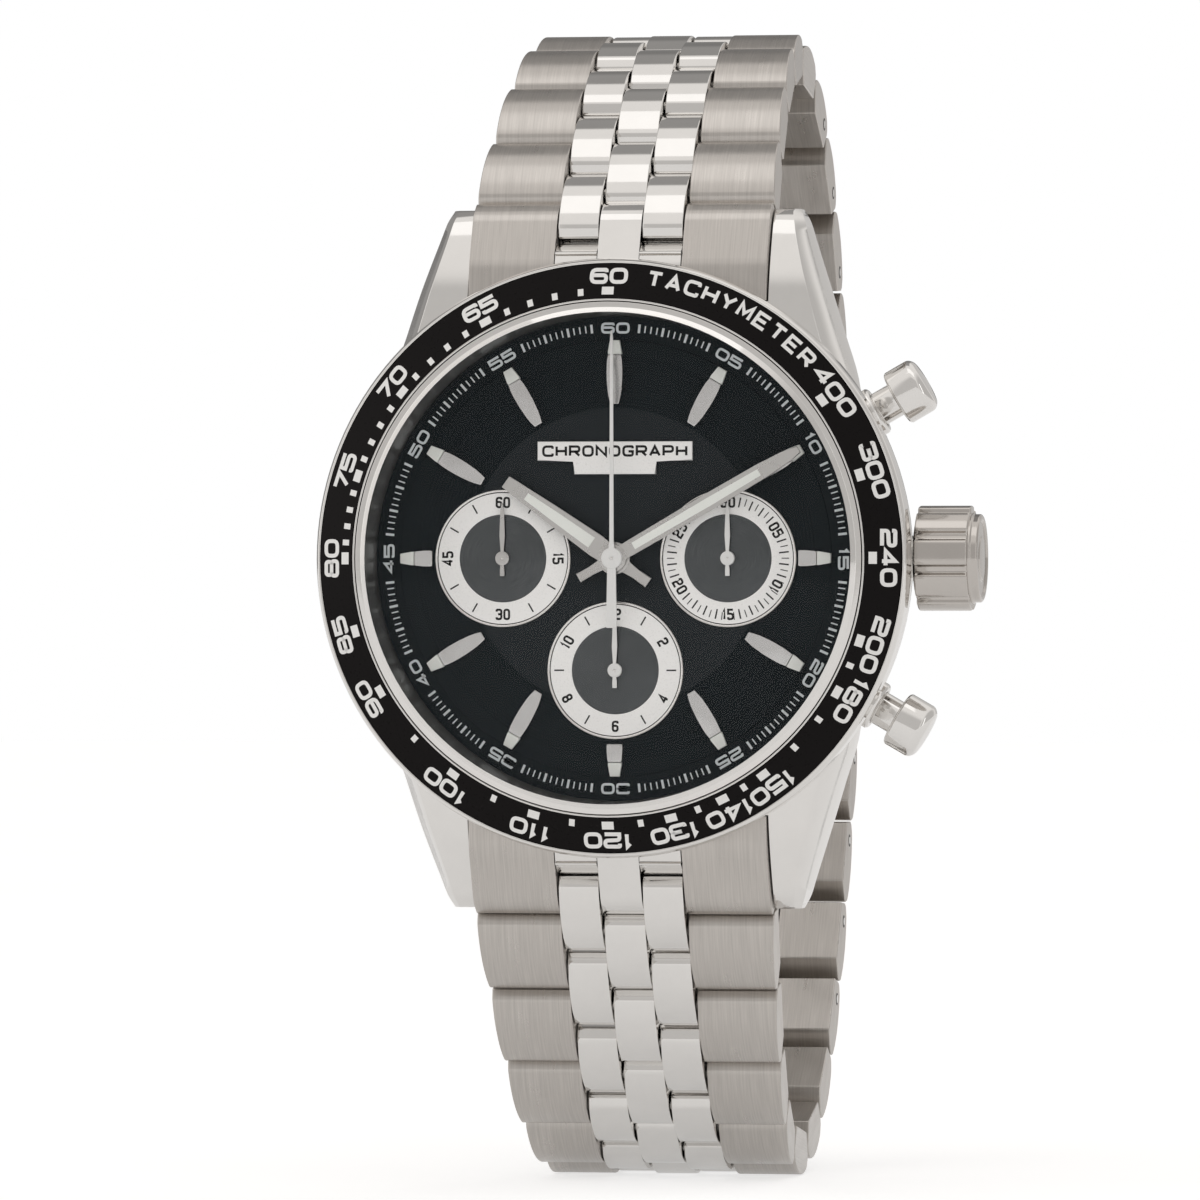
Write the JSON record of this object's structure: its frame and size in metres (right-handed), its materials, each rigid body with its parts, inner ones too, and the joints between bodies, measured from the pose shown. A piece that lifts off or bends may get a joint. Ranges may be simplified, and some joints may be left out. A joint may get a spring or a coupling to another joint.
{
  "type": "wristwatch",
  "caption": "Automatic chronograph wristwatch with a tachymeter bezel, recessed sub-dials, crown and pushers, on a closed steel link bracelet with a folding clasp.",
  "frame": {"origin": "centre of the case back's outer flat face", "axes": "+Z to 12 o'clock, +X to 3 o'clock and the crown, +Y out of the case back towards the wrist, so the dial faces -Y"},
  "size_m": [0.0465, 0.0612, 0.0827],
  "materials": {
    "brushed": "satin brushed",
    "polished": "mirror polished",
    "insert": "gloss black ceramic",
    "dial": "black lacquer",
    "silver": "silvered satin",
    "white": "white lacquer",
    "glass": "clear sapphire",
    "rubber": "matt",
    "plastic": "matt",
    "movement": "rhodium plated, striped",
    "gold": "gilt"
  },
  "bodies": {
    "head": {"case_middle": "polished", "case_back": "brushed", "case_back_glass": "glass", "case_back_gasket": "rubber", "movement_ring": "plastic", "bezel_ring": "polished", "bezel_insert": "insert", "crystal_gasket": "rubber", "crystal": "glass", "dial_flange": "insert", "dial": "dial", "small_seconds_ring": "silver", "minute_counter_ring": "silver", "hour_counter_ring": "silver", "dial_plate": "silver", "main_plate": "movement", "train_bridge": "movement", "crown_tube": "brushed", "end_link_upper": "brushed", "end_link_lower": "brushed", "spring_bar_upper": "brushed", "spring_bar_lower": "brushed"},
    "upper_row_01": {"upper_row_01": "brushed"},
    "upper_row_02": {"upper_row_02": "brushed"},
    "upper_row_03": {"upper_row_03": "brushed"},
    "upper_row_04": {"upper_row_04": "brushed"},
    "upper_row_05": {"upper_row_05": "brushed"},
    "upper_row_06": {"upper_row_06": "brushed"},
    "upper_row_07": {"upper_row_07": "brushed"},
    "upper_row_08": {"upper_row_08": "brushed"},
    "upper_row_09": {"upper_row_09": "brushed"},
    "lower_row_01": {"lower_row_01": "brushed"},
    "lower_row_02": {"lower_row_02": "brushed"},
    "lower_row_03": {"lower_row_03": "brushed"},
    "lower_row_04": {"lower_row_04": "brushed"},
    "lower_row_05": {"lower_row_05": "brushed"},
    "lower_row_06": {"lower_row_06": "brushed"},
    "lower_row_07": {"lower_row_07": "brushed"},
    "lower_row_08": {"lower_row_08": "brushed"},
    "lower_row_09": {"lower_row_09": "brushed"},
    "lower_row_10": {"lower_row_10": "brushed"},
    "lower_row_11": {"lower_row_11": "brushed"},
    "clasp_cover": {"clasp_cover": "brushed"},
    "clasp_blade_outer": {"clasp_blade_outer": "polished"},
    "clasp_blade_inner": {"clasp_blade_inner": "polished"},
    "clasp_button_left": {"clasp_button_left": "polished"},
    "clasp_button_right": {"clasp_button_right": "polished"},
    "winding_stem": {"winding_stem": "brushed"},
    "crown": {"crown": "polished"},
    "pusher_upper": {"pusher_upper": "polished"},
    "pusher_lower": {"pusher_lower": "polished"},
    "small_seconds_hand": {"small_seconds_hand": "polished"},
    "minute_hand": {"minute_hand": "polished"},
    "hour_hand": {"hour_hand": "polished"},
    "mainspring_barrel": {"mainspring_barrel": "gold"},
    "chrono_seconds_hand": {"chrono_seconds_hand": "white"},
    "minute_counter_hand": {"minute_counter_hand": "white"},
    "hour_counter_hand": {"hour_counter_hand": "white"},
    "rotor": {"rotor": "movement"},
    "balance_wheel": {"balance_wheel": "gold"}
  },
  "joints": [
    {"name": "upper_row_01_hinge", "type": "hinge", "parent": "head", "child": "upper_row_01", "pos_m": [0, -0.0052, 0.0234], "axis": [1, 0, 0], "range_deg": [0, 34.4]},
    {"name": "upper_row_02_hinge", "type": "hinge", "parent": "upper_row_01", "child": "upper_row_02", "pos_m": [0, -0.00035, 0.02802], "axis": [1, 0, 0], "range_deg": [0, 4.9]},
    {"name": "upper_row_03_hinge", "type": "hinge", "parent": "upper_row_02", "child": "upper_row_03", "pos_m": [0, 0.00488, 0.03221], "axis": [1, 0, 0], "range_deg": [0, 10.9]},
    {"name": "upper_row_04_hinge", "type": "hinge", "parent": "upper_row_03", "child": "upper_row_04", "pos_m": [0, 0.01081, 0.03533], "axis": [1, 0, 0], "range_deg": [0, 16.7]},
    {"name": "upper_row_05_hinge", "type": "hinge", "parent": "upper_row_04", "child": "upper_row_05", "pos_m": [0, 0.01738, 0.03662], "axis": [1, 0, 0], "range_deg": [0, 20.4]},
    {"name": "upper_row_06_hinge", "type": "hinge", "parent": "upper_row_05", "child": "upper_row_06", "pos_m": [0, 0.02399, 0.03554], "axis": [1, 0, 0], "range_deg": [0, 20.2]},
    {"name": "upper_row_07_hinge", "type": "hinge", "parent": "upper_row_06", "child": "upper_row_07", "pos_m": [0, 0.02983, 0.03224], "axis": [1, 0, 0], "range_deg": [0, 17.1]},
    {"name": "upper_row_08_hinge", "type": "hinge", "parent": "upper_row_07", "child": "upper_row_08", "pos_m": [0, 0.03443, 0.02737], "axis": [1, 0, 0], "range_deg": [0, 13]},
    {"name": "upper_row_09_hinge", "type": "hinge", "parent": "upper_row_08", "child": "upper_row_09", "pos_m": [0, 0.03782, 0.0216], "axis": [1, 0, 0], "range_deg": [0, 8.8]},
    {"name": "lower_row_01_hinge", "type": "hinge", "parent": "head", "child": "lower_row_01", "pos_m": [0, -0.0052, -0.0234], "axis": [-1, 0, 0], "range_deg": [0, 23]},
    {"name": "lower_row_02_hinge", "type": "hinge", "parent": "lower_row_01", "child": "lower_row_02", "pos_m": [0, -0.00136, -0.02889], "axis": [-1, 0, 0], "range_deg": [0, 1.8]},
    {"name": "lower_row_03_hinge", "type": "hinge", "parent": "lower_row_02", "child": "lower_row_03", "pos_m": [0, 0.00266, -0.03425], "axis": [-1, 0, 0], "range_deg": [0, 8.9]},
    {"name": "lower_row_04_hinge", "type": "hinge", "parent": "lower_row_03", "child": "lower_row_04", "pos_m": [0, 0.00745, -0.03893], "axis": [-1, 0, 0], "range_deg": [0, 15.5]},
    {"name": "lower_row_05_hinge", "type": "hinge", "parent": "lower_row_04", "child": "lower_row_05", "pos_m": [0, 0.01332, -0.04216], "axis": [-1, 0, 0], "range_deg": [0, 20.5]},
    {"name": "lower_row_06_hinge", "type": "hinge", "parent": "lower_row_05", "child": "lower_row_06", "pos_m": [0, 0.01995, -0.04313], "axis": [-1, 0, 0], "range_deg": [0, 22.7]},
    {"name": "lower_row_07_hinge", "type": "hinge", "parent": "lower_row_06", "child": "lower_row_07", "pos_m": [0, 0.02644, -0.04146], "axis": [-1, 0, 0], "range_deg": [0, 20.5]},
    {"name": "lower_row_08_hinge", "type": "hinge", "parent": "lower_row_07", "child": "lower_row_08", "pos_m": [0, 0.03194, -0.03763], "axis": [-1, 0, 0], "range_deg": [0, 14.4]},
    {"name": "lower_row_09_hinge", "type": "hinge", "parent": "lower_row_08", "child": "lower_row_09", "pos_m": [0, 0.03631, -0.03255], "axis": [-1, 0, 0], "range_deg": [0, 8.5]},
    {"name": "lower_row_10_hinge", "type": "hinge", "parent": "lower_row_09", "child": "lower_row_10", "pos_m": [0, 0.03988, -0.02688], "axis": [-1, 0, 0], "range_deg": [0, 5.5]},
    {"name": "lower_row_11_hinge", "type": "hinge", "parent": "lower_row_10", "child": "lower_row_11", "pos_m": [0, 0.04289, -0.02089], "axis": [-1, 0, 0], "range_deg": [0, 3.1]},
    {"name": "clasp_cover_hinge", "type": "hinge", "parent": "lower_row_11", "child": "clasp_cover", "pos_m": [0, 0.04557, -0.01475], "axis": [-1, 0, 0], "range_deg": [0, 17.4]},
    {"name": "clasp_unfold", "type": "hinge", "parent": "clasp_cover", "child": "clasp_blade_outer", "pos_m": [0, 0.04078, 0.01198], "axis": [-1, 0, 0], "range_deg": [0, 60]},
    {"name": "clasp_blade_inner_hinge", "type": "hinge", "parent": "clasp_blade_outer", "child": "clasp_blade_inner", "pos_m": [0, 0.0449, -0.0108], "axis": [1, 0, 0], "range_deg": [0, 96.1]},
    {"name": "clasp_button_left_press", "type": "slide", "parent": "clasp_cover", "child": "clasp_button_left", "axis": [1, 0, 0], "range_m": [0, 0.0005], "stiffness_N_per_m": 600},
    {"name": "clasp_button_right_press", "type": "slide", "parent": "clasp_cover", "child": "clasp_button_right", "axis": [-1, 0, 0], "range_m": [0, 0.0005], "stiffness_N_per_m": 600},
    {"name": "crown_pull", "type": "slide", "parent": "head", "child": "winding_stem", "axis": [1, 0, 0], "range_m": [0, 0.0015]},
    {"name": "crown_turn", "type": "hinge", "parent": "winding_stem", "child": "crown", "pos_m": [0.02, -0.00485, 0], "axis": [1, 0, 0], "continuous": true},
    {"name": "pusher_upper_press", "type": "slide", "parent": "head", "child": "pusher_upper", "axis": [-0.866, 0, -0.5], "range_m": [0, 0.0008], "stiffness_N_per_m": 1500},
    {"name": "pusher_lower_press", "type": "slide", "parent": "head", "child": "pusher_lower", "axis": [-0.866, 0, 0.5], "range_m": [0, 0.0008], "stiffness_N_per_m": 1500},
    {"name": "small_seconds_turn", "type": "hinge", "parent": "head", "child": "small_seconds_hand", "pos_m": [-0.008, -0.0092, 0], "axis": [0, 1, 0], "continuous": true},
    {"name": "minute_hand_turn", "type": "hinge", "parent": "head", "child": "minute_hand", "pos_m": [0, -0.0092, 0], "axis": [0, 1, 0], "continuous": true},
    {"name": "hour_hand_turn", "type": "hinge", "parent": "head", "child": "hour_hand", "pos_m": [0, -0.0092, 0], "axis": [0, 1, 0], "continuous": true},
    {"name": "barrel_turn", "type": "hinge", "parent": "head", "child": "mainspring_barrel", "pos_m": [-0.0062, -0.0045, 0.005], "axis": [0, 1, 0], "continuous": true},
    {"name": "chrono_seconds_turn", "type": "hinge", "parent": "head", "child": "chrono_seconds_hand", "pos_m": [0, -0.0092, 0], "axis": [0, 1, 0], "continuous": true},
    {"name": "minute_counter_turn", "type": "hinge", "parent": "head", "child": "minute_counter_hand", "pos_m": [0.008, -0.0092, 0], "axis": [0, 1, 0], "continuous": true},
    {"name": "hour_counter_turn", "type": "hinge", "parent": "head", "child": "hour_counter_hand", "pos_m": [0, -0.0092, -0.00785], "axis": [0, 1, 0], "continuous": true},
    {"name": "rotor_turn", "type": "hinge", "parent": "head", "child": "rotor", "pos_m": [0, -0.002, 0], "axis": [0, 1, 0], "continuous": true},
    {"name": "balance_swing", "type": "hinge", "parent": "head", "child": "balance_wheel", "pos_m": [-0.0056, -0.0045, -0.0064], "axis": [0, 1, 0], "range_deg": [-150, 150], "stiffness_Nm_per_rad": 0.00002}
  ],
  "couplings": [
    {"joint": "clasp_blade_inner_hinge", "follows": "clasp_unfold", "ratio": 1.6},
    {"joint": "minute_hand_turn", "follows": "small_seconds_turn", "ratio": 0.016667},
    {"joint": "hour_hand_turn", "follows": "small_seconds_turn", "ratio": 0.0013889},
    {"joint": "barrel_turn", "follows": "small_seconds_turn", "ratio": 0.0027778},
    {"joint": "minute_counter_turn", "follows": "chrono_seconds_turn", "ratio": 0.033333},
    {"joint": "hour_counter_turn", "follows": "chrono_seconds_turn", "ratio": 0.0013889}
  ]
}
